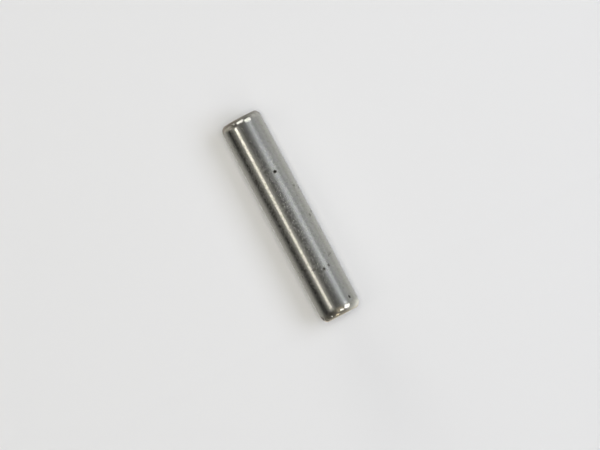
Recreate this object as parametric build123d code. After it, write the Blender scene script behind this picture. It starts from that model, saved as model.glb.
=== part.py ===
from build123d import *
import os

# Alignment pin: one short solid rod of ground steel, with flat ends and rounded edges.
# All sizes are in millimetres. The pin stands on its foot, with its axis on +Z,
# and the origin is the centre of the foot face.

# Driving sizes
shank_diameter = 3.5
pin_length = 18.0

# The foot end is rounded a little more than the top end, as the lead that goes into the bore first.
foot_edge_radius = 0.6
top_edge_radius = 0.5

# Every rounded edge runs from an end face to the shank, so it turns through a right angle.
edge_turn = 90

# Directions in the half section, whose first axis points away from the pin's axis and whose
# second axis points up.
outward = (1, 0)
upward = (0, 1)


def half_section():
    """Draws the half section from the foot's centre, round the outside, to the top's centre."""
    shank_radius = shank_diameter / 2
    with BuildSketch(Plane.XZ) as section:
        with BuildLine():
            foot_face = Line((0, 0), (shank_radius - foot_edge_radius, 0))
            foot_edge = JernArc(foot_face @ 1, outward, foot_edge_radius, edge_turn)
            shank = Line(foot_edge @ 1, (shank_radius, pin_length - top_edge_radius))
            top_edge = JernArc(shank @ 1, upward, top_edge_radius, edge_turn)
            top_face = Line(top_edge @ 1, (0, pin_length))
            Line(top_face @ 1, foot_face @ 0)
        make_face()
    return section.sketch


def alignment_pin():
    """Turns the half section once round the pin's axis."""
    with BuildPart() as pin:
        revolve(half_section(), axis=Axis.Z)
    return pin.part


os.makedirs("parts", exist_ok=True)
export_step(alignment_pin(), "parts/alignment_pin.step")
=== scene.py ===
# %% [markdown]
# The object is an alignment pin: one short rod of ground steel that holds two machine parts in
# line. It has no other piece, so the whole lesson is about how a plain steel rod gets its look:
# true rounded ends, fine wear in the surface, a finish with the right grain, and a studio whose
# reflections draw the long bright and dark bands that make steel read as steel.
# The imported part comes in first, and its box gives the pin's length and radius.

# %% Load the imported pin
import math
import random
from collections import namedtuple

import bpy
from mathutils import Matrix, Vector, noise


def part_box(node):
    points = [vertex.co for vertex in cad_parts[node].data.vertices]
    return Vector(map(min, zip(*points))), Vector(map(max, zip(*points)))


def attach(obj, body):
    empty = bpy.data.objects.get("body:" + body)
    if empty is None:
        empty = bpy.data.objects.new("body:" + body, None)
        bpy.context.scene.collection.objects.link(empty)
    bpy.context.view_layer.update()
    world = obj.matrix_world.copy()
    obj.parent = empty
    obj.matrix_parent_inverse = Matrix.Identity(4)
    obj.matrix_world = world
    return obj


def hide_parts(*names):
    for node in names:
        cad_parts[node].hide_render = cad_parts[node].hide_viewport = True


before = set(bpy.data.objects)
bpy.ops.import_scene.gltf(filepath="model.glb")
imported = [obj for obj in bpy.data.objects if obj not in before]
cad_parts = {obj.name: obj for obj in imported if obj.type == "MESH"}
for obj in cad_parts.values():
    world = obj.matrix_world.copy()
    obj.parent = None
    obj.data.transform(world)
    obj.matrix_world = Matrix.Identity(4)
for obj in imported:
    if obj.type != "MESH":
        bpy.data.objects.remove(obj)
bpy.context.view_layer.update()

MM = 0.001
PIN_NODE = "alignment_pin"
pin_low, pin_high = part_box(PIN_NODE)
PIN_RADIUS = (pin_high[0] - pin_low[0]) / 2
PIN_LENGTH = pin_high[2] - pin_low[2]
PIN_MIDDLE = Vector((0, 0, PIN_LENGTH / 2))
print(f"pin radius {PIN_RADIUS / MM:.3f} mm, length {PIN_LENGTH / MM:.2f} mm")

# %% [markdown]
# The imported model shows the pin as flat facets, about forty round the shank. Polished steel
# mirrors each of them as a stripe, so the pin is turned again here as a much finer mesh of the
# same size. It could be a cylinder with a bevel, but a turned outline gives each end its own
# radius and keeps the rings square, which later dents and pits need.
# The outline has five parts: the foot's face, its rounded edge, the shank, the top's rounded edge
# and its face. A share from 0 to 1 goes along each, and the answer keeps its lean, the angle at
# which the surface faces up or down. The real edges were tumbled, not cut, so each is a quarter of
# an ellipse that reaches further along the pin than across it. It is rounder on one side of the
# pin than on the other, and a little squarer at both sides than towards the camera.

# %% Outline of the pin
FOOT_EDGE_REACH, TOP_EDGE_REACH = 0.92 * MM, 0.70 * MM
FOOT_EDGE_RADIUS, TOP_EDGE_RADIUS = 0.57 * MM, 0.46 * MM
FOOT_UNEVENNESS, TOP_UNEVENNESS = 0.045 * MM, -0.05 * MM
FOOT_SQUARENESS, TOP_SQUARENESS = 0.075 * MM, 0.04 * MM
RIGHT_ANGLE = math.pi / 2


def edge_point(share, inset, reach):
    """How far a rounded edge comes in and up at a share of its turn, and its lean there."""
    turn = RIGHT_ANGLE * share
    lean = math.atan2(inset * math.sin(turn), reach * math.cos(turn))
    return inset * (1 - math.cos(turn)), reach * (1 - math.sin(turn)), lean


def worn_inset(radius, unevenness, squareness, around):
    """How far a rounded edge comes in, all in all, at an angle round the pin."""
    side = math.sin(around)
    return radius + unevenness * side - squareness * side * side


def outline_point(ring, around):
    """Radius, height and lean of the pin where a ring crosses the given side."""
    foot_inset = worn_inset(FOOT_EDGE_RADIUS, FOOT_UNEVENNESS, FOOT_SQUARENESS, around)
    top_inset = worn_inset(TOP_EDGE_RADIUS, TOP_UNEVENNESS, TOP_SQUARENESS, around)
    if ring.part == "foot_face":
        return (PIN_RADIUS - foot_inset) * ring.share, 0.0, -RIGHT_ANGLE
    if ring.part == "foot_edge":
        come_in, height, lean = edge_point(1 - ring.share, foot_inset, FOOT_EDGE_REACH)
        return PIN_RADIUS - come_in, height, -lean
    if ring.part == "shank":
        straight = PIN_LENGTH - TOP_EDGE_REACH - FOOT_EDGE_REACH
        return PIN_RADIUS, FOOT_EDGE_REACH + straight * ring.share, 0.0
    if ring.part == "top_edge":
        come_in, height, lean = edge_point(ring.share, top_inset, TOP_EDGE_REACH)
        return PIN_RADIUS - come_in, PIN_LENGTH - height, lean
    return (PIN_RADIUS - top_inset) * (1 - ring.share), PIN_LENGTH, RIGHT_ANGLE


print(f"edges reach {FOOT_EDGE_REACH / MM:.2f} and {TOP_EDGE_REACH / MM:.2f} mm along the pin")

# %% [markdown]
# The mesh is a stack of rings. They lie under a tenth of a millimetre apart on the shank and round
# the edges, which is close enough to hold a pit, and further apart on the flat faces.

# %% Rings of the pin
FACE_RINGS = 8
EDGE_RINGS = 18
SHANK_RINGS = 236
Ring = namedtuple("Ring", "part share")


def pin_rings():
    """All the rings of the pin, from the foot to the top, each place once."""
    rings = [Ring("foot_face", step / FACE_RINGS) for step in range(1, FACE_RINGS)]
    rings += [Ring("foot_edge", step / EDGE_RINGS) for step in range(EDGE_RINGS + 1)]
    rings += [Ring("shank", step / SHANK_RINGS) for step in range(1, SHANK_RINGS)]
    rings += [Ring("top_edge", step / EDGE_RINGS) for step in range(EDGE_RINGS + 1)]
    rings += [Ring("top_face", step / FACE_RINGS) for step in range(1, FACE_RINGS)]
    return rings


rings = pin_rings()
print(f"{len(rings)} rings")

# %% [markdown]
# The pin has been handled and knocked about. A few dark pits show on the side that faces the
# camera, the rim of the foot has a small nick, and the shank isn't quite true: its reflections
# waver a little. All of this is pressed into the mesh, because a pit that is only painted has no
# edge to catch the light.
# A mark is placed by its angle round the pin in degrees, from the side that faces the camera
# towards the camera's right, and by its height above the foot in millimetres. Small seeded pits
# are spread over the whole pin, and more of them, and deeper ones, lie on its left flank.

# %% Pits and nicks
Mark = namedtuple("Mark", "around height width tall depth stain")

PLAIN_MARKS = [
    Mark(18.8, 12.78, 0.33, 0.25, 0.010, 1.0),
    Mark(13.0, 3.96, 0.24, 0.26, 0.006, 0.85),
    Mark(29.6, 4.07, 0.19, 0.22, 0.005, 0.75),
    Mark(41.1, 1.02, 0.17, 0.28, 0.010, 0.85),
    Mark(-11.1, 4.29, 0.26, 0.24, 0.006, 0.5),
    Mark(53.6, 11.10, 0.26, 0.20, 0.008, 0.4),
    Mark(71.6, 10.80, 0.26, 0.24, 0.010, 0.5),
    Mark(55.4, 8.38, 0.26, 0.22, 0.008, 0.45),
    Mark(71.6, 8.60, 0.26, 0.20, 0.010, 0.5),
    Mark(46.2, 4.79, 0.20, 0.20, 0.005, 0.32),
    Mark(54.1, 4.86, 0.22, 0.26, 0.005, 0.32),
    Mark(-76.0, 0.46, 0.60, 0.36, 0.050, 0.75),
    Mark(-58.0, 0.16, 0.30, 0.22, 0.030, 0.4),
]
MARK_SEED = 3531
SMALL_MARKS, SMALL_DEPTH = 46, 0.006
FLANK_MARKS, FLANK_DEPTH = 34, 0.010
ALL_ROUND, LEFT_FLANK = (-180, 180), (-84, -42)
SEEDED_HEIGHTS = (0.5, 17.5)
SEEDED_WIDTHS = (0.08, 0.17)
SEEDED_STRETCHES = (0.8, 1.5)
SEEDED_DEPTH_SHARES = (0.3, 1.0)
SEEDED_STAINS = (0.1, 0.4)


def scattered_marks(dice, count, sides, deepest):
    """Small pits, spread by chance over a range of sides."""
    marks = []
    for _ in range(count):
        around = dice.uniform(*sides)
        height = dice.uniform(*SEEDED_HEIGHTS)
        width = dice.uniform(*SEEDED_WIDTHS)
        tall = width * dice.uniform(*SEEDED_STRETCHES)
        depth = dice.uniform(*SEEDED_DEPTH_SHARES) * deepest
        stain = dice.uniform(*SEEDED_STAINS)
        marks.append(Mark(around, height, width, tall, depth, stain))
    return marks


dice = random.Random(MARK_SEED)
marks = PLAIN_MARKS + scattered_marks(dice, SMALL_MARKS, ALL_ROUND, SMALL_DEPTH)
marks += scattered_marks(dice, FLANK_MARKS, LEFT_FLANK, FLANK_DEPTH)
print(f"{len(marks)} marks")

# %% [markdown]
# Each point of the mesh asks every mark how deep it presses there. A mark is a smooth bowl with
# an uneven rim, so its distance is bent by a little noise first. The wavering is slow noise, about
# a thousandth of a millimetre deep. All of it goes inwards, so the pin never outgrows its box.

# %% Depth of the surface at a point
WAVER_DEPTH = 0.0010
WAVER_LENGTH = 3.2
RIM_NOISE, RIM_NOISE_SCALE = 0.35, 9
BOWL_REACH = 1.6
STAIN_SPREAD = 1.8


def bowl(distance):
    """1 in the middle of a mark, falling smoothly to 0 at its rim."""
    if distance >= 1:
        return 0.0
    return (1 - distance * distance) ** 2


def press_of(mark, around, height, spot):
    """How deep one mark presses at a point in millimetres, and how dark it stains it."""
    turn = (math.degrees(around) - mark.around + 180) % 360 - 180
    across = math.radians(turn) * PIN_RADIUS / MM / (mark.width / 2)
    along = (height - mark.height) / (mark.tall / 2)
    if abs(across) > BOWL_REACH or abs(along) > BOWL_REACH:
        return 0.0, 0.0
    bend = 1 + RIM_NOISE * noise.noise(spot * RIM_NOISE_SCALE)
    share = bowl(math.hypot(across, along) / BOWL_REACH * bend)
    return mark.depth * share, mark.stain * min(1.0, STAIN_SPREAD * share)


def surface_at(around, height, spot):
    """Depth in metres and stain from 0 to 1, with the marks and the wavering together."""
    depth = WAVER_DEPTH * (0.5 + 0.5 * noise.noise(spot / WAVER_LENGTH))
    stain = 0.0
    for mark in marks:
        if abs(height - mark.height) < mark.tall * BOWL_REACH:
            pressed, darkened = press_of(mark, around, height, spot)
            depth += pressed
            stain = max(stain, darkened)
    return depth * MM, stain


print(f"wavering up to {WAVER_DEPTH} mm, deepest mark {max(mark.depth for mark in marks)} mm")

# %% [markdown]
# Each ring is walked round in even steps, one point for each side. A point is found on the outline
# first, and is then pressed in against the way that the surface faces there. The flat ends stay
# flat, because the pin stands on one of them.

# %% Points of a ring
SIDES = 288


def ring_points(ring):
    """The points of one ring, pressed in by the marks, with the stain of each."""
    points, stains = [], []
    for side in range(SIDES):
        around = 2 * math.pi * side / SIDES
        radius, height, lean = outline_point(ring, around)
        outward = Vector((math.sin(around), -math.cos(around), 0))
        point = outward * radius + Vector((0, 0, height))
        facing = outward * math.cos(lean) + Vector((0, 0, math.sin(lean)))
        depth, stain = surface_at(around, height / MM, point / MM)
        if abs(lean) == RIGHT_ANGLE:
            depth = 0
        points.append(point - facing * depth)
        stains.append(stain)
    return points, stains


point_gap = 2 * math.pi * PIN_RADIUS / SIDES
print(f"{SIDES} points in a ring, {point_gap / MM:.3f} mm apart on the shank")

# %% [markdown]
# The mesh is woven from the rings, with squares between them and a fan of triangles over the middle
# of each end. The stain of every point is kept in an attribute, which the steel reads to darken the
# bottom of the pits.

# %% Weave the pin's mesh
def woven_faces():
    """Squares between neighbouring rings, and a fan at each end."""
    faces = []
    last = len(rings) - 1
    foot_centre, top_centre = len(rings) * SIDES, len(rings) * SIDES + 1
    for side in range(SIDES):
        after = (side + 1) % SIDES
        faces.append((foot_centre, after, side))
        faces.append((top_centre, last * SIDES + side, last * SIDES + after))
        for row in range(last):
            low, high = row * SIDES, (row + 1) * SIDES
            faces.append((low + side, low + after, high + after, high + side))
    return faces


def turned_pin():
    """The pin as one mesh object with smooth faces and a stain for every point."""
    points, stains = [], []
    for ring in rings:
        ring_place, ring_stain = ring_points(ring)
        points += ring_place
        stains += ring_stain
    points += [Vector((0, 0, 0)), Vector((0, 0, PIN_LENGTH))]
    stains += [0.0, 0.0]
    mesh = bpy.data.meshes.new("ground_pin")
    mesh.from_pydata(points, [], woven_faces())
    mesh.polygons.foreach_set("use_smooth", [True] * len(mesh.polygons))
    stain_layer = mesh.attributes.new("pit_stain", "FLOAT", "POINT")
    stain_layer.data.foreach_set("value", stains)
    pin = bpy.data.objects.new("ground_pin", mesh)
    bpy.context.scene.collection.objects.link(pin)
    return pin


pin = turned_pin()
print(f"{len(pin.data.vertices)} points, {len(pin.data.polygons)} faces")

# %% [markdown]
# Materials are built from nodes, and a small helper keeps each one readable: it makes a node,
# sets its fields, and fills its inputs with values or with other nodes' outputs. The Mix node has
# sockets for every kind of data, so those for colours are picked by their numbers.

# %% Node helpers
MIX_SHARE, MIX_FIRST, MIX_SECOND, MIX_RESULT = 0, 6, 7, 2


def add_node(tree, kind, inputs=None, **fields):
    """Adds a node to a tree. An input is given by its name or number, as a value or a socket."""
    node = tree.nodes.new(kind)
    for field, value in fields.items():
        setattr(node, field, value)
    for key, value in (inputs or {}).items():
        if isinstance(value, bpy.types.NodeSocket):
            tree.links.new(value, node.inputs[key])
        else:
            node.inputs[key].default_value = value
    return node


def calculate(tree, operation, first, second=0.0):
    """Works out one sum on two numbers."""
    return add_node(tree, "ShaderNodeMath", {0: first, 1: second}, operation=operation).outputs[0]


def calculate_vector(tree, operation, first, second=(0, 0, 0)):
    """Works out one sum on two vectors. A length or a distance comes out as a number."""
    node = add_node(tree, "ShaderNodeVectorMath", {0: first, 1: second}, operation=operation)
    return node.outputs["Value" if operation in ("LENGTH", "DISTANCE") else "Vector"]


def fit_range(tree, value, low, high, to_low, to_high):
    """Maps a value smoothly from one range to another."""
    inputs = {"Value": value, "From Min": low, "From Max": high}
    inputs.update({"To Min": to_low, "To Max": to_high})
    node = add_node(tree, "ShaderNodeMapRange", inputs, interpolation_type="SMOOTHSTEP")
    return node.outputs["Result"]


def mix_colours(tree, share, first, second, blend="MIX"):
    """Mixes two colours by a share."""
    inputs = {MIX_SHARE: share, MIX_FIRST: first, MIX_SECOND: second}
    node = add_node(tree, "ShaderNodeMix", inputs, data_type="RGBA", blend_type=blend)
    return node.outputs[MIX_RESULT]


print("node helpers ready")

# %% [markdown]
# Bare steel that has been stored and handled is never one even colour. Oil and light oxide leave a
# cloudy stain, the grinding leaves a fine mottle, and the oxide starts in dots. Each is noise of
# its own size, with its contrast raised. A hue a little coarser than the mottle and a grain a
# little finer are made the same way, for the metal's tint and for the thin film on it.
# Two masks say where the wear is, by a distance in millimetres. One is a lane down the right of the
# pin that hands have worn unevenly, and the other is the middle of the pin's length.

# %% Kinds of wear
NoiseKind = namedtuple("NoiseKind", "detail roughness low high")
CLOUDS = NoiseKind(4.0, 0.6, 0.36, 0.66)
MOTTLE = NoiseKind(3.0, 0.6, 0.3, 0.7)
DOTS = NoiseKind(1.0, 0.5, 0.60, 0.72)
HUE = NoiseKind(1.0, 0.5, 0.32, 0.68)
GRAIN = NoiseKind(4.0, 0.7, 0.41, 0.615)
HUE_PER_MOTTLE, GRAIN_PER_MOTTLE = 1.5, 0.9
LANE_START, LANE_FULL, LANE_FADES, LANE_END = 0.0, 0.55, 0.75, 1.25
LEFT_OF_LANE, RIGHT_OF_LANE = 0.12, 0.3
MIDDLE_REACH, MIDDLE_END = 4.0, 8.4


def wear_noise(group, place, size, kind):
    """Noise of one size, whose contrast is raised until it runs from 0 to 1."""
    scale = calculate(group, "DIVIDE", 1.0, size)
    inputs = {"Vector": place, "Scale": scale, "Detail": kind.detail, "Roughness": kind.roughness}
    texture = add_node(group, "ShaderNodeTexNoise", inputs)
    return fit_range(group, texture.outputs[0], kind.low, kind.high, 0.0, 1.0)


def handled_lane(group, right):
    """1 in the lane down the right of the pin, and less to both sides of it."""
    rubbed = fit_range(group, right, LANE_START, LANE_FULL, LEFT_OF_LANE, 1.0)
    beyond = fit_range(group, right, LANE_FADES, LANE_END, 1.0, RIGHT_OF_LANE)
    return calculate(group, "MULTIPLY", rubbed, beyond)


def middle_of_pin(group, height):
    """1 in the middle of the pin's length, falling to 0 towards both ends."""
    above_middle = calculate(group, "SUBTRACT", height, PIN_LENGTH / MM / 2)
    from_middle = calculate(group, "ABSOLUTE", above_middle)
    return fit_range(group, from_middle, MIDDLE_REACH, MIDDLE_END, 1.0, 0.0)


print(f"handled lane {LANE_START} to {LANE_END} mm, middle within {MIDDLE_END} mm")

# %% [markdown]
# Both ends and the shank share the wear, so it is one node group, placed in each material with its
# own sizes. It measures in millimetres from the object's own coordinates, so the pattern stays put
# on the metal.

# %% Wear group, shared by both finishes
TO_MM = 1 / MM


def add_wear_sockets(group):
    """Gives the group its sizes as inputs, in millimetres, and its outputs."""
    for name, size in (("Cloud Size", 1.6), ("Mottle Size", 0.2), ("Dot Size", 0.1)):
        socket = group.interface.new_socket(name, in_out="INPUT", socket_type="NodeSocketFloat")
        socket.default_value = size
    for name in ("Cloud", "Mottle", "Dots", "Grain", "Hue", "Handled", "Middle"):
        group.interface.new_socket(name, in_out="OUTPUT", socket_type="NodeSocketFloat")


def steel_wear_group():
    """A group that gives the marks of age on bare steel, each from 0 to 1."""
    group = bpy.data.node_groups.new("steel_wear", "ShaderNodeTree")
    add_wear_sockets(group)
    sizes = add_node(group, "NodeGroupInput").outputs
    place = add_node(group, "ShaderNodeTexCoord").outputs["Object"]
    in_mm = calculate_vector(group, "MULTIPLY", place, (TO_MM, TO_MM, TO_MM))
    axes = add_node(group, "ShaderNodeSeparateXYZ", {0: in_mm}).outputs
    hue_size = calculate(group, "MULTIPLY", sizes["Mottle Size"], HUE_PER_MOTTLE)
    grain_size = calculate(group, "MULTIPLY", sizes["Mottle Size"], GRAIN_PER_MOTTLE)
    add_node(group, "NodeGroupOutput", {
        "Cloud": wear_noise(group, in_mm, sizes["Cloud Size"], CLOUDS),
        "Mottle": wear_noise(group, in_mm, sizes["Mottle Size"], MOTTLE),
        "Dots": wear_noise(group, in_mm, sizes["Dot Size"], DOTS),
        "Hue": wear_noise(group, in_mm, hue_size, HUE),
        "Grain": wear_noise(group, in_mm, grain_size, GRAIN),
        "Handled": handled_lane(group, axes["X"]),
        "Middle": middle_of_pin(group, axes["Z"]),
    })
    return group


steel_wear = steel_wear_group()
print("wear group with", [item.name for item in steel_wear.interface.items_tree])

# %% [markdown]
# Both finishes are a metal's colour under its wear. The hue wanders between two steels, one a
# little greener, and clouds, mottle and dots each darken it by their own shade. Multiplying keeps
# the order from mattering, where mixing would let the last one hide the others.

# %% Worn colour of bare steel
OLIVE_STEEL = (0.646, 0.650, 0.588, 1)
GREY_STEEL = (0.656, 0.640, 0.610, 1)
CLOUD_SHADE = (0.985, 0.985, 0.98, 1)
MOTTLED_SHADE = (0.95, 0.95, 0.94, 1)
DOT_SHADE = (0.72, 0.71, 0.68, 1)


def new_material(name):
    """An empty node material and its tree."""
    material = bpy.data.materials.new(name)
    material.use_nodes = True
    material.node_tree.nodes.clear()
    return material, material.node_tree


def add_wear(tree, sizes):
    """Places the wear group in a material with its own sizes, and gives its outputs."""
    return add_node(tree, "ShaderNodeGroup", sizes, node_tree=steel_wear).outputs


def worn_colour(tree, wear):
    """The metal's colour under its clouds, mottle and dots."""
    colour = mix_colours(tree, wear["Hue"], OLIVE_STEEL, GREY_STEEL)
    for name, shade in (("Cloud", CLOUD_SHADE), ("Mottle", MOTTLED_SHADE), ("Dots", DOT_SHADE)):
        colour = mix_colours(tree, wear[name], colour, shade, "MULTIPLY")
    return colour


print("steel between", OLIVE_STEEL[:3], "and", GREY_STEEL[:3])

# %% [markdown]
# Wear shows on the shank most in how sharply it mirrors. Clouds change the roughness a little
# everywhere, mottle and dots mostly in the handled lane, the pin's middle is a bit duller, and the
# pits are rough.
# A thin film of oil and oxide lies on the steel in grains. It could be a second shader, but a
# Metallic a little under 1 gives the same veil. It is thickest in the middle of the pin.

# %% Roughness and film of the shank
CLOUD_ROUGHNESS = (0.132, 0.150)
MOTTLE_ROUGHNESS = (-0.03, 0.065)
DOT_ROUGHNESS = 0.11
MIDDLE_ROUGHNESS = 0.05
PIT_ROUGHNESS = 0.4
FILM_AT_ENDS, FILM_IN_MIDDLE = 0.075, 0.155


def ground_roughness(tree, wear, pits):
    """The clouds' roughness, with the handled lane, the pin's middle and the pits added."""
    mottled = fit_range(tree, wear["Mottle"], 0, 1, *MOTTLE_ROUGHNESS)
    dotted = calculate(tree, "MULTIPLY", wear["Dots"], DOT_ROUGHNESS)
    uneven = calculate(tree, "ADD", mottled, dotted)
    rough = fit_range(tree, wear["Cloud"], 0, 1, *CLOUD_ROUGHNESS)
    added = (
        (uneven, wear["Handled"]),
        (wear["Middle"], MIDDLE_ROUGHNESS),
        (pits, PIT_ROUGHNESS),
    )
    for mask, amount in added:
        rough = calculate(tree, "ADD", rough, calculate(tree, "MULTIPLY", mask, amount))
    return rough


def bare_share(tree, wear):
    """How much of the steel shows through its film, from 0 to 1."""
    thickness = fit_range(tree, wear["Middle"], 0, 1, FILM_AT_ENDS, FILM_IN_MIDDLE)
    film = calculate(tree, "MULTIPLY", wear["Grain"], thickness)
    return calculate(tree, "SUBTRACT", 1.0, film)


print(f"film up to {FILM_AT_ENDS} at the ends and {FILM_IN_MIDDLE} in the middle")

# %% [markdown]
# The shank is ground and lightly tumbled. Grinding runs round the pin, so light spreads along the
# pin more than across it: that is what anisotropy is for. The tangent runs round the pin, and a
# quarter turn of the anisotropy lays the spread along it. Mottle and dots are also a very shallow
# bump, and the dark in the pits comes from the stain of the mesh.

# %% Ground steel of the shank
SHANK_WEAR = {"Cloud Size": 0.9, "Mottle Size": 0.19, "Dot Size": 0.10}
PIT_DARK = (0.02, 0.018, 0.015, 1)
SHANK_BUMP = {"Strength": 0.08, "Distance": 0.02 * MM}
GRINDING_SPREAD = 0.6
QUARTER_TURN = 0.25


def ground_steel():
    """Ground and tumbled steel, for the shank and the rounded edges."""
    material, tree = new_material("ground_steel")
    wear = add_wear(tree, SHANK_WEAR)
    pits = add_node(tree, "ShaderNodeAttribute", attribute_name="pit_stain").outputs["Fac"]
    relief = calculate(tree, "ADD", wear["Mottle"], wear["Dots"])
    bump = add_node(tree, "ShaderNodeBump", {"Height": relief, **SHANK_BUMP})
    tangent = add_node(tree, "ShaderNodeTangent", direction_type="RADIAL", axis="Z")
    steel = add_node(tree, "ShaderNodeBsdfPrincipled", {
        "Base Color": mix_colours(tree, pits, worn_colour(tree, wear), PIT_DARK),
        "Metallic": bare_share(tree, wear),
        "Roughness": ground_roughness(tree, wear, pits),
        "Anisotropic": GRINDING_SPREAD,
        "Anisotropic Rotation": QUARTER_TURN,
        "Tangent": tangent.outputs[0],
        "Normal": bump.outputs[0],
    })
    add_node(tree, "ShaderNodeOutputMaterial", {"Surface": steel.outputs[0]})
    return material


ground = ground_steel()
print("material", ground.name)

# %% [markdown]
# The flat ends were faced on a lathe before the pin was ground, so they keep faint rings round the
# middle and are duller. Their own material uses the same wear group. The rings are a ripple in the
# distance from the pin's axis, used only as a shallow bump.

# %% Faced steel of the flat ends
FACE_WEAR = {"Cloud Size": 0.9, "Mottle Size": 0.10}
FACE_ROUGHNESS = (0.40, 0.50)
FACE_BUMP = {"Strength": 0.12, "Distance": 0.01 * MM}
FACING_FEED = 0.055


def facing_rings(tree):
    """Rings round the pin's axis, one for each turn of the facing tool's feed."""
    place = add_node(tree, "ShaderNodeTexCoord").outputs["Object"]
    from_axis = calculate_vector(tree, "MULTIPLY", place, (TO_MM, TO_MM, 0))
    reach = calculate_vector(tree, "LENGTH", from_axis)
    return calculate(tree, "SINE", calculate(tree, "MULTIPLY", reach, 2 * math.pi / FACING_FEED))


def faced_steel():
    """Steel with faint turned rings, for the two flat ends."""
    material, tree = new_material("faced_steel")
    wear = add_wear(tree, FACE_WEAR)
    relief = calculate(tree, "ADD", facing_rings(tree), wear["Mottle"])
    bump = add_node(tree, "ShaderNodeBump", {"Height": relief, **FACE_BUMP})
    steel = add_node(tree, "ShaderNodeBsdfPrincipled", {
        "Base Color": worn_colour(tree, wear),
        "Metallic": 1.0,
        "Roughness": fit_range(tree, wear["Cloud"], 0, 1, *FACE_ROUGHNESS),
        "Normal": bump.outputs[0],
    })
    add_node(tree, "ShaderNodeOutputMaterial", {"Surface": steel.outputs[0]})
    return material


faced = faced_steel()
print("material", faced.name)

# %% [markdown]
# The fine pin now takes its finishes, rides on the part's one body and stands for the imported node.
# Faces that look straight up or down are the flat ends, so they take the faced steel.

# %% Finish the pin and put it in the frame
FLAT_FACING = 0.9999


def finish_faces(piece):
    """Gives the flat ends the faced steel and all else the ground steel."""
    piece.data.materials.append(ground)
    piece.data.materials.append(faced)
    flat_count = 0
    for face in piece.data.polygons:
        if abs(face.normal.z) > FLAT_FACING:
            face.material_index = 1
            flat_count += 1
    return flat_count


print(finish_faces(pin), "faces on the flat ends")
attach(pin, "root")
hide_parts(PIN_NODE)

# %% [markdown]
# The stage is a pale board behind the pin and a pale floor under it. The pin touches the board, so
# the board takes its soft shadow. Both are seen from their front only, and only by the camera: the
# board doesn't hide the pin from behind, and neither of them shades the other. They fade out within
# about ten centimetres, so no edge shows against the background.

# %% Board and floor
BOARD_COLOUR = (0.80, 0.80, 0.80, 1)
BOARD_SIZE = 0.24
FADE_START, FADE_END = 0.045, 0.11


def stage_material():
    """Matt pale board that is seen from the front and fades out with distance from the pin."""
    material, tree = new_material("pale_board")
    matt = add_node(tree, "ShaderNodeBsdfDiffuse", {"Color": BOARD_COLOUR})
    clear = add_node(tree, "ShaderNodeBsdfTransparent")
    geometry = add_node(tree, "ShaderNodeNewGeometry").outputs
    far = calculate_vector(tree, "DISTANCE", geometry["Position"], tuple(PIN_MIDDLE))
    gone = fit_range(tree, far, FADE_START, FADE_END, 0.0, 1.0)
    unseen = calculate(tree, "MAXIMUM", gone, geometry["Backfacing"])
    inputs = {0: unseen, 1: matt.outputs[0], 2: clear.outputs[0]}
    shown = add_node(tree, "ShaderNodeMixShader", inputs)
    add_node(tree, "ShaderNodeOutputMaterial", {"Surface": shown.outputs[0]})
    return material


def stage_plane(name, place, facing, material):
    """A square sheet of the stage, looking along its facing."""
    half = BOARD_SIZE / 2
    corners = [(-half, -half, 0), (half, -half, 0), (half, half, 0), (-half, half, 0)]
    mesh = bpy.data.meshes.new(name)
    mesh.from_pydata(corners, [], [(0, 1, 2, 3)])
    mesh.materials.append(material)
    sheet = bpy.data.objects.new(name, mesh)
    turn = facing.to_track_quat("Z", "Y").to_matrix().to_4x4()
    sheet.matrix_world = Matrix.Translation(place) @ turn
    sheet.visible_glossy = sheet.visible_diffuse = sheet.visible_shadow = False
    bpy.context.scene.collection.objects.link(sheet)
    return sheet


board_finish = stage_material()
stage_plane("board", Vector((0, PIN_RADIUS, PIN_LENGTH / 2)), Vector((0, -1, 0)), board_finish)
stage_plane("floor", Vector((0, 0, 0)), Vector((0, 0, 1)), board_finish)

# %% [markdown]
# What makes the bands on polished steel is the room it mirrors. Photographers stand grey and black
# cards round such a part, and here a tent does the same: a ball round the pin that only its
# reflections see. The cards round the pin are given by their angle in degrees, where 0 is towards
# the camera and plus is to its right, with a tone from 0 for black to 1 for white.
# A round pin shows a direction at twice the angle of its surface, so a tone at 90 degrees lands
# where the surface has turned 45 degrees away.

# %% Cards round the pin
ROUND_TONES = [
    # Pale behind the pin, and darker towards its left
    (-180, 0.58), (-155, 0.47), (-137, 0.42), (-124, 0.38), (-114, 0.29), (-105, 0.18), (-96, 0.08),
    # The darkest card, on the left
    (-88, 0.02), (-74, 0.02), (-66, 0.08), (-58, 0.19),
    # A pale card between that one and the camera
    (-50, 0.44), (-33, 0.46), (-20, 0.18),
    # Dark where the camera stands
    (-12, 0.104), (-3, 0.10), (10, 0.155), (20, 0.25),
    # A pale card to the right of the camera, and a dimmer stretch beside it
    (32, 0.47), (38, 0.54), (46, 0.475), (59, 0.33),
    # Pale on the right and round to the back
    (81, 0.445), (95, 0.41), (108, 0.49), (123, 0.56), (153, 0.58), (180, 0.58),
]
ROUND_TINTS = [
    (-180, (1.0, 0.98, 0.93)),
    (-20, (1.0, 0.985, 0.94)),
    (5, (0.985, 1.0, 1.02)),
    (40, (0.95, 1.0, 1.11)),
    (70, (0.97, 1.0, 1.04)),
    (105, (0.99, 1.0, 0.985)),
    (180, (0.98, 1.0, 1.02)),
]
print(len(ROUND_TONES), "tones and", len(ROUND_TINTS), "tints round the pin")

# %% [markdown]
# The rounded ends also mirror what hangs above the pin and lies below it, so there are cards there
# too. Their tone follows how far back they are, from -1 at the camera's side to 1 behind the pin.
# Their tint, which also dims or brightens them, follows how far right they are, from -1 to 1.

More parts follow.
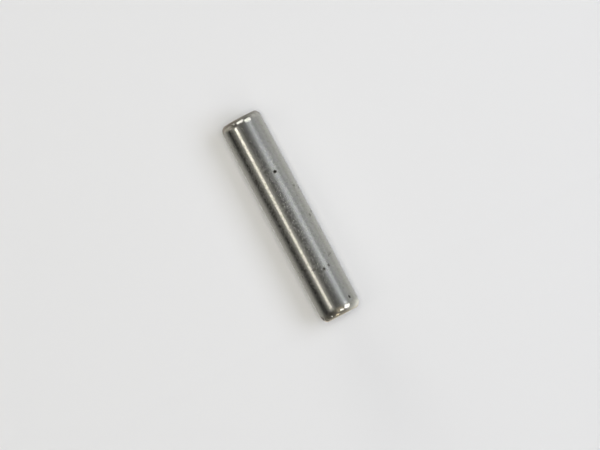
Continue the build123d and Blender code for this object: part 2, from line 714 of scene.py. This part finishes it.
# %% Cards above and below the pin
UPPER_TONES = [
    (-1.0, 0.22), (-0.3, 0.30), (0.0, 0.60), (0.35, 0.50),
    (0.55, 0.62), (0.8, 1.0), (0.93, 0.70), (1.0, 0.30),
]
UPPER_TINTS = [
    (-1.0, (0.88, 0.82, 0.74)),
    (-0.74, (0.88, 0.82, 0.74)),
    (-0.63, (0.36, 0.32, 0.29)),
    (-0.28, (0.44, 0.39, 0.35)),
    (-0.1, (0.56, 0.51, 0.47)),
    (0.08, (0.56, 0.53, 0.49)),
    (0.25, (0.45, 0.44, 0.42)),
    (0.45, (0.48, 0.47, 0.45)),
    (0.65, (0.62, 0.61, 0.59)),
    (0.82, (1.0, 1.0, 0.985)),
    (1.0, (1.2, 1.2, 1.18)),
]
LOWER_TONES = [
    (-1.0, 0.26), (-0.4, 0.19), (0.0, 0.29), (0.3, 0.40),
    (0.45, 0.48), (0.6, 0.57), (1.0, 0.84),
]
LOWER_TINTS = [
    (-1.0, (0.28, 0.26, 0.22)),
    (-0.7, (0.31, 0.29, 0.25)),
    (-0.45, (0.68, 0.62, 0.54)),
    (-0.22, (1.05, 0.96, 0.85)),
    (0.2, (1.0, 0.92, 0.78)),
    (0.55, (1.62, 1.62, 1.58)),
    (1.0, (1.62, 1.62, 1.58)),
]
print(len(UPPER_TONES), "tones above the pin and", len(LOWER_TONES), "below it")

# %% [markdown]
# A colour ramp holds up to 32 stops, placed from 0 to 1, so each list is first mapped onto that
# span. Tone and tint are separate ramps, multiplied, so either can be tuned without the other.

# %% Ramps of tone and tint
def colour_ramp(tree, value, stops):
    """A colour that changes with a value, through the given tones or colours."""
    first, last = stops[0][0], stops[-1][0]
    inputs = {"Value": value, "From Min": first, "From Max": last}
    share = add_node(tree, "ShaderNodeMapRange", inputs)
    node = add_node(tree, "ShaderNodeValToRGB", {0: share.outputs[0]})
    ramp = node.color_ramp
    ramp.interpolation = "LINEAR"
    # New stops come in half way, and the loop below puts each in its place.
    while len(ramp.elements) < len(stops):
        ramp.elements.new(0.5)
    for element, (place, colour) in zip(ramp.elements, stops):
        element.position = (place - first) / (last - first)
        element.color = (*colour, 1) if isinstance(colour, tuple) else (colour, colour, colour, 1)
    return node.outputs[0]


def tinted_cards(tree, tone_value, tones, tint_value, tints):
    """Cards whose tone follows one value and whose tint follows another."""
    tone = colour_ramp(tree, tone_value, tones)
    tint = colour_ramp(tree, tint_value, tints)
    return mix_colours(tree, 1.0, tone, tint, "MULTIPLY")


print("ramp helpers ready")

# %% [markdown]
# The tent's material turns the way from the pin into a tone: round cards where the way is nearly
# level, upper or lower ones where it is steep, and a smooth change between them. Straight behind
# the pin every way is nearly level, so back there the steepness is measured against left and right
# alone. The tent glows by itself, so it needs no light, and it isn't used as a lamp.

# %% Tent of grey cards
TENT_RADIUS = 0.7
TENT_SEGMENTS = 48
STEEP_START, STEEP_END = math.radians(8), math.radians(28)


def steepness_of(tree, right, back, up):
    """How steep a way is, as a sine. Behind the pin, only left and right count against it."""
    front = calculate(tree, "MINIMUM", back, 0.0)
    way = add_node(tree, "ShaderNodeCombineXYZ", {0: right, 1: front, 2: up}).outputs[0]
    reach = calculate_vector(tree, "LENGTH", way)
    return calculate(tree, "DIVIDE", calculate(tree, "ABSOLUTE", up), reach)


def tent_material():
    """Glowing cards whose tone depends on the direction from the pin."""
    material, tree = new_material("grey_cards")
    place = add_node(tree, "ShaderNodeTexCoord").outputs["Object"]
    way = calculate_vector(tree, "NORMALIZE", place)
    axes = add_node(tree, "ShaderNodeSeparateXYZ", {0: way}).outputs
    right, back, up = axes["X"], axes["Y"], axes["Z"]
    turn = calculate(tree, "ARCTAN2", right, calculate(tree, "MULTIPLY", back, -1.0))
    degrees = calculate(tree, "MULTIPLY", turn, math.degrees(1))
    round_cards = tinted_cards(tree, degrees, ROUND_TONES, degrees, ROUND_TINTS)
    upper_cards = tinted_cards(tree, back, UPPER_TONES, right, UPPER_TINTS)
    lower_cards = tinted_cards(tree, back, LOWER_TONES, right, LOWER_TINTS)
    above = calculate(tree, "GREATER_THAN", up, 0.0)
    end_cards = mix_colours(tree, above, lower_cards, upper_cards)
    steepness = steepness_of(tree, right, back, up)
    steep = fit_range(tree, steepness, math.sin(STEEP_START), math.sin(STEEP_END), 0.0, 1.0)
    colour = mix_colours(tree, steep, round_cards, end_cards)
    glow = add_node(tree, "ShaderNodeEmission", {"Color": colour, "Strength": 1.0})
    add_node(tree, "ShaderNodeOutputMaterial", {"Surface": glow.outputs[0]})
    material.cycles.emission_sampling = "NONE"
    return material


def card_tent():
    """A ball round the pin that only reflections see."""
    bpy.ops.mesh.primitive_uv_sphere_add(segments=TENT_SEGMENTS, ring_count=TENT_SEGMENTS // 2,
                                         radius=TENT_RADIUS, location=PIN_MIDDLE)
    tent = bpy.context.object
    tent.name = "card_tent"
    tent.data.materials.append(tent_material())
    tent.visible_camera = tent.visible_diffuse = False
    tent.visible_shadow = tent.visible_transmission = False
    return tent


print("tent", card_tent().name, "of radius", TENT_RADIUS, "m")

# %% [markdown]
# The world is the background and the soft light between the lamps. The camera sees it pale, and so
# would any reflection that got past the tent. The board and the floor are lit by its weaker glow.

# %% World
BACKGROUND_TONE = 0.80
WORLD_GLOW = 0.08


def pale_world():
    """Pale to the camera and to reflections, and a soft even glow to all else."""
    world = bpy.data.worlds.new("pale_world")
    bpy.context.scene.world = world
    world.use_nodes = True
    tree = world.node_tree
    tree.nodes.clear()
    path = add_node(tree, "ShaderNodeLightPath")
    seen = calculate(tree, "MAXIMUM", path.outputs["Is Camera Ray"], path.outputs["Is Glossy Ray"])
    seen = calculate(tree, "MAXIMUM", seen, path.outputs["Is Transmission Ray"])
    strength = calculate(tree, "MULTIPLY_ADD", seen, BACKGROUND_TONE - WORLD_GLOW)
    strength.node.inputs[2].default_value = WORLD_GLOW
    glow = add_node(tree, "ShaderNodeBackground", {"Color": (1, 1, 1, 1), "Strength": strength})
    add_node(tree, "ShaderNodeOutputWorld", {"Surface": glow.outputs[0]})
    world.cycles.sampling_method = "NONE"
    return world


print("world", pale_world().name)

# %% [markdown]
# Soft lamps stand round the camera, as lamps with diffusers do round a copy stand. A lamp is given
# by two angles from the pin's middle, round to the right and up, by the angles that it fills, and
# by its level, which is how bright it looks, where 1 is white.

# %% Soft lamp
LAMP_DISTANCE = 0.32
Lamp = namedtuple("Lamp", "name around above width height level colour")


def span_at(degrees):
    """The size that fills an angle, seen from the lamps' distance."""
    return 2 * LAMP_DISTANCE * math.tan(math.radians(degrees) / 2)


def direction_of(around, above):
    """The way from the pin's middle at two angles in radians, round to the right and up."""
    right, front = math.sin(around) * math.cos(above), math.cos(around) * math.cos(above)
    return Vector((right, -front, math.sin(above)))


def soft_lamp(lamp):
    """An area lamp in the given direction from the pin's middle, looking at it."""
    away = direction_of(math.radians(lamp.around), math.radians(lamp.above))
    light = bpy.data.lights.new(lamp.name, "AREA")
    light.shape = "RECTANGLE"
    light.size, light.size_y = span_at(lamp.width), span_at(lamp.height)
    light.energy = lamp.level * math.pi * light.size * light.size_y
    light.color = lamp.colour
    holder = bpy.data.objects.new(lamp.name, light)
    holder.location = PIN_MIDDLE + away * LAMP_DISTANCE
    holder.rotation_mode = "QUATERNION"
    holder.rotation_quaternion = away.to_track_quat("Z", "Y")
    holder.visible_camera = False
    bpy.context.scene.collection.objects.link(holder)
    return holder


print("lamps stand", LAMP_DISTANCE, "m from the pin")

# %% [markdown]
# The glint lamps light reflections only, and their places follow from what they leave there: a
# narrow warm strip on the left draws the long streak on the shank, and most of the others show only
# as small glints in the rounded ends, because a straight shank seen square on mirrors hardly
# anything above or below it.

# %% Lamps for the glints
WARM = (1.0, 0.955, 0.84)
COOL = (0.90, 0.965, 1.0)
NEUTRAL = (1.0, 1.0, 0.985)
GOLD = (1.0, 0.86, 0.58)
GLINT_LAMPS = [
    Lamp("left_strip", -41.0, 0.5, 12.0, 11.0, 0.81, WARM),
    Lamp("left_strip_top", -41.0, 7.7, 12.0, 7.0, 2.0, WARM),
    Lamp("left_flank", -68.0, 13.0, 22.0, 18.0, 0.12, WARM),
    Lamp("upper_middle", -5.0, 48.0, 32.0, 26.0, 1.6, NEUTRAL),
    Lamp("upper_right", 43.0, 28.0, 34.0, 29.0, 1.5, NEUTRAL),
    Lamp("right_low", 45.0, -12.0, 16.0, 16.0, 0.6, COOL),
    Lamp("lower_right", 51.0, -39.5, 28.0, 25.0, 2.0, NEUTRAL),
    Lamp("lower_middle", 10.0, -49.0, 14.0, 12.0, 2.3, NEUTRAL),
    Lamp("lower_glow", 0.0, -44.0, 34.0, 30.0, 0.17, GOLD),
    Lamp("lower_spot", -58.0, -73.0, 12.0, 12.0, 1.5, GOLD),
    Lamp("upper_spot", -58.0, 53.0, 6.0, 6.0, 4.4, NEUTRAL),
    Lamp("left_dim_spot", -70.0, 22.0, 5.0, 6.0, 0.7, WARM),
    Lamp("left_spot", -83.0, -49.0, 6.0, 6.0, 1.8, NEUTRAL),
]

for lamp in GLINT_LAMPS:
    soft_lamp(lamp).visible_diffuse = False
print("glint lamps", ", ".join(lamp.name for lamp in GLINT_LAMPS))

# %% [markdown]
# The board lamps leave no reflection. They light the board, the floor and the film on the steel.
# The right side is the stronger, so the shadow falls to the left. The small lamp straight in front
# keeps the board clear past the pin's ends, the tall one lays a wide soft shadow there, and the one
# on the left evens out the two sides. The last one lights the floor from above.

# %% Lamps for the board
BOARD_WARM = (1.0, 0.98, 0.92)
BOARD_COOL = (0.84, 0.88, 1.0)
BOARD_LAMPS = [
    Lamp("board_key", 40.0, -8.0, 30.0, 46.0, 3.3, BOARD_COOL),
    Lamp("board_middle", 0.0, 0.0, 20.0, 16.0, 8.0, BOARD_WARM),
    Lamp("board_tall", 0.0, -12.0, 30.0, 90.0, 1.2, BOARD_WARM),
    Lamp("board_left", -38.0, 4.0, 26.0, 28.0, 1.6, BOARD_WARM),
    Lamp("floor_top", 0.0, 88.0, 30.0, 30.0, 9.0, BOARD_WARM),
]

for lamp in BOARD_LAMPS:
    soft_lamp(lamp).visible_glossy = False
print("board lamps", ", ".join(lamp.name for lamp in BOARD_LAMPS))

# %% [markdown]
# The camera looks square on at the standing pin from far off, through a long lens, and is rolled so
# that the pin leans as in the photograph, with its top to the upper left. It looks up by a degree
# or so: that puts it just under the floor, whose back isn't seen, so only the board shows behind
# the pin. The aim is the point of the object's plane that lies in the middle of the picture.

# %% Camera
CAMERA_DISTANCE = 0.40
NEAREST_SEEN, FURTHEST_SEEN = 0.01, 3.0
FRAME_WIDTH = 48.73 * MM
LOOK_UP = math.radians(1.3)
PIN_LEAN = math.radians(28.0)
AIM = Vector((0.335 * MM, 0, 8.045 * MM))


def rolled_camera():
    """A long-lens camera in front of the pin, rolled by the pin's lean."""
    data = bpy.data.cameras.new("camera")
    data.lens = data.sensor_width * CAMERA_DISTANCE / FRAME_WIDTH
    data.clip_start, data.clip_end = NEAREST_SEEN, FURTHEST_SEEN
    forward = Vector((0, math.cos(LOOK_UP), math.sin(LOOK_UP)))
    side = Vector((1, 0, 0))
    up = side.cross(forward)
    right = side * math.cos(PIN_LEAN) - up * math.sin(PIN_LEAN)
    over = side * math.sin(PIN_LEAN) + up * math.cos(PIN_LEAN)
    camera = bpy.data.objects.new("camera", data)
    basis = Matrix((right, over, -forward)).transposed().to_4x4()
    camera.matrix_world = Matrix.Translation(AIM - forward * CAMERA_DISTANCE) @ basis
    bpy.context.scene.collection.objects.link(camera)
    bpy.context.scene.camera = camera
    return camera


print("lens", round(rolled_camera().data.lens), "mm")
bpy.context.scene.view_settings.view_transform = "Standard"
